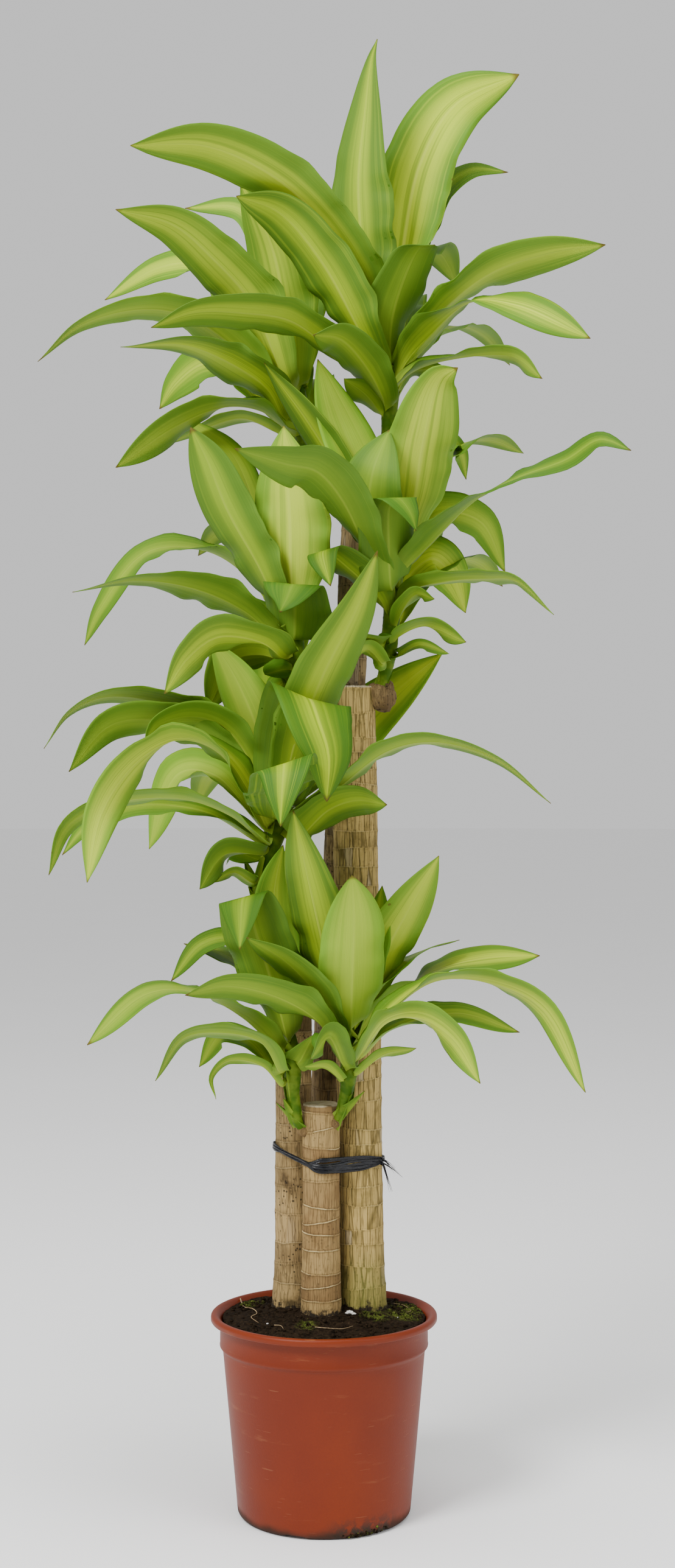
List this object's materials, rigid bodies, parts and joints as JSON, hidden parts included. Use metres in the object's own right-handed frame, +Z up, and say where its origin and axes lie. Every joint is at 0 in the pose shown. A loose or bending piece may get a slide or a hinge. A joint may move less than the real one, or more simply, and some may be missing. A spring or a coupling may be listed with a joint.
{
  "type": "potted corn plant",
  "caption": "Tall potted corn plant: bare canes of stepped height with arching strap-leaf heads, in a tapered nursery pot.",
  "frame": {"origin": "centre of the pot's underside", "axes": "+Z up along the pot's axis, -Y towards the front, which shows the short cane, +X to the right seen from the front"},
  "size_m": [0.6726, 0.631, 1.7652],
  "materials": {
    "pot": "terracotta-coloured nursery plastic, satin, scuffed",
    "soil": "dark peat potting soil, crumbly, slightly damp",
    "bark": "dry tan bark with pale leaf-scar rings and fine vertical cracks",
    "leaf": "waxy green leaf, lime-yellow stripe down the middle, dark green margins",
    "tie": "black shiny plastic ribbon"
  },
  "bodies": {
    "root": {"pot": "pot", "soil": "soil", "cane_a": "bark", "cane_b": "bark", "cane_c": "bark", "cane_d": "bark", "head_d_right": "leaf", "head_d_left": "leaf", "head_c_right": "leaf", "head_c_left": "leaf", "head_b": "leaf", "head_a_left": "leaf", "head_a_right": "leaf", "tie": "tie"}
  },
  "joints": []
}
